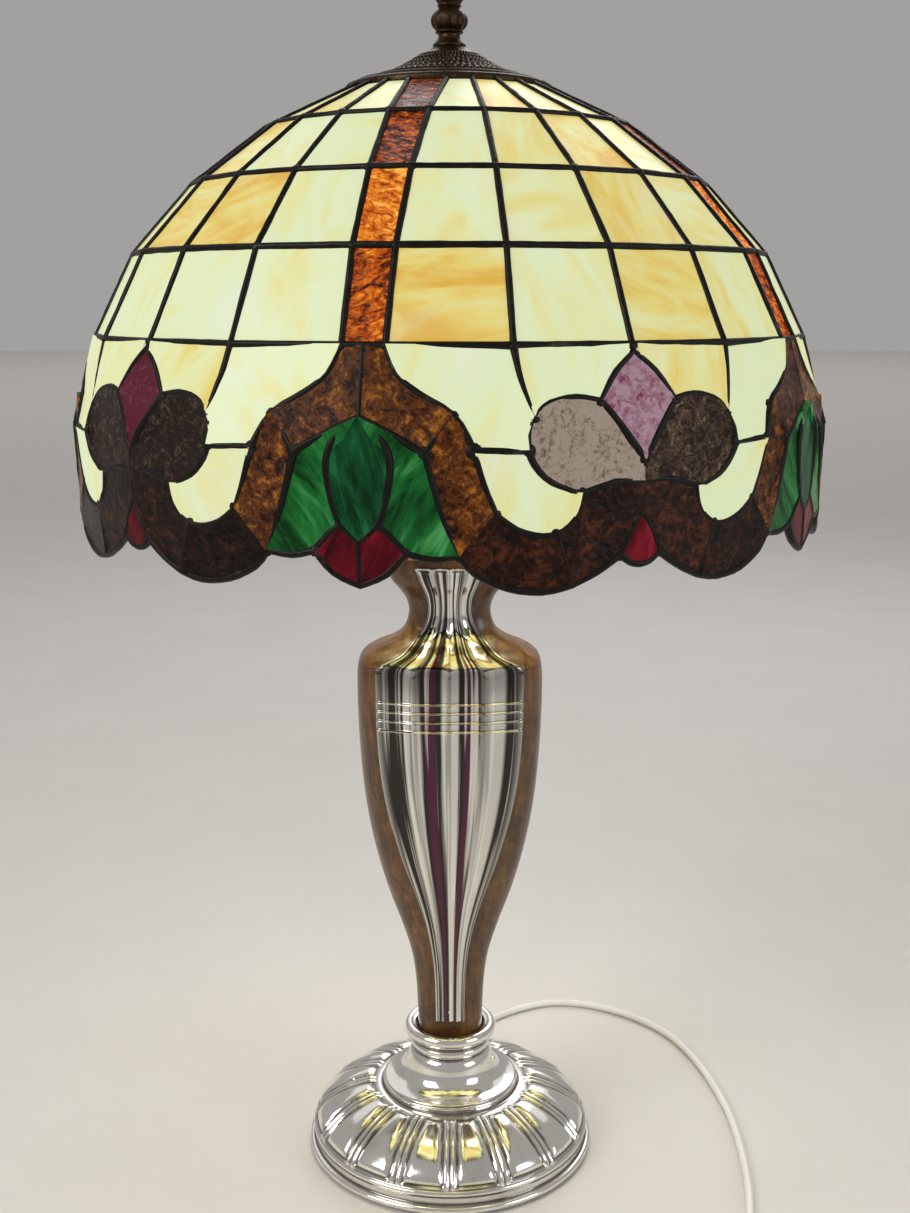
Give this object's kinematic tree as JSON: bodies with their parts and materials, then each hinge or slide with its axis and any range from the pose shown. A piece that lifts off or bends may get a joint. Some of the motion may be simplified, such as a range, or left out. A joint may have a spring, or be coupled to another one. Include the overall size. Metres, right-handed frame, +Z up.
{
  "type": "stained glass table lamp",
  "caption": "Table lamp with a domed leaded glass shade, flower and leaf skirt, silver plated stand with a baluster of burr wood, mains cord and inline switch.",
  "frame": {"origin": "middle of the flat underside of the base, on the table", "axes": "+Z up along the stand, front towards -Y, +X to the right as seen from the front"},
  "size_m": [0.408, 0.4086, 0.6874],
  "materials": {
    "silver_plate": "polished silver plate, lightly worn",
    "burr_wood": "varnished burr",
    "bronze": "dark bronze",
    "brass": "plain",
    "steel": "zinc plated",
    "iron": "rough cast",
    "felt": "wool felt",
    "porcelain": "glazed",
    "bulb_glass": "opal, lit",
    "cream_glass": "opalescent",
    "amber_glass": "rippled",
    "brown_glass": "granite textured",
    "green_glass": "wispy",
    "red_glass": "smooth",
    "mauve_glass": "rippled",
    "solder": "black patina",
    "white_pvc": "satin",
    "white_plastic": "gloss"
  },
  "bodies": {
    "stand": {"felt_pad": "felt", "base_shell": "silver_plate", "base_weight": "iron", "base_washer": "steel", "base_nut": "brass", "bell_collar": "silver_plate", "strain_relief": "white_pvc", "wood_column": "burr_wood", "front_plate": "silver_plate", "back_plate": "silver_plate", "plate_pins": "silver_plate", "column_rod": "steel", "column_cap": "brass", "cap_nut": "brass", "cluster_body": "brass", "holder_arms": "brass", "holder_shells": "brass", "holder_inserts": "porcelain", "bulb_caps": "steel", "bulb_globes": "bulb_glass", "shade_riser": "steel", "riser_coupler": "brass", "finial_stud": "steel", "support_wheel": "brass", "wheel_nuts": "brass", "cord": "white_pvc", "switch_bottom": "white_plastic", "switch_top": "white_plastic", "switch_screws": "steel", "cord_link": "white_pvc", "cord_coil": "white_pvc", "cord_end": "white_pvc", "plug_body": "white_plastic", "plug_pins": "steel"},
    "shade": {"shade_ring": "brass", "vase_cap": "bronze", "cream_row_1": "cream_glass", "cream_row_2": "cream_glass", "cream_row_3": "cream_glass", "cream_row_4": "cream_glass", "amber_strips": "amber_glass", "cream_skirt": "cream_glass", "branch_glass": "brown_glass", "scroll_glass": "brown_glass", "leaf_glass": "green_glass", "bud_glass": "green_glass", "tulip_glass": "red_glass", "pansy_tops": "mauve_glass", "pansy_petals": "brown_glass", "pansy_lips": "brown_glass", "ruby_drops": "red_glass", "lead_rings": "solder", "lead_ribs": "solder", "lead_skirt": "solder", "lead_rim": "solder"},
    "finial_bush": {"finial_bush": "brass"},
    "finial": {"finial": "bronze"},
    "rocker": {"switch_rocker": "white_plastic"}
  },
  "joints": [
    {"name": "shade_turn", "type": "hinge", "parent": "stand", "child": "shade", "pos_m": [0, 0, 0.603], "axis": [0, 0, 1], "continuous": true},
    {"name": "finial_rise", "type": "slide", "parent": "stand", "child": "finial_bush", "axis": [0, 0, 1], "range_m": [0, 0.004]},
    {"name": "finial_turn", "type": "hinge", "parent": "finial_bush", "child": "finial", "pos_m": [0, 0, 0.645], "axis": [0, 0, 1], "range_deg": [0, 1440]},
    {"name": "rocker_tilt", "type": "hinge", "parent": "stand", "child": "rocker", "pos_m": [0.109, -0.161, 0.011], "axis": [-0.5, 0.866, 0], "range_deg": [0, 14]}
  ],
  "couplings": [
    {"joint": "finial_turn", "follows": "finial_rise", "rad_per_m": 6283.2}
  ]
}
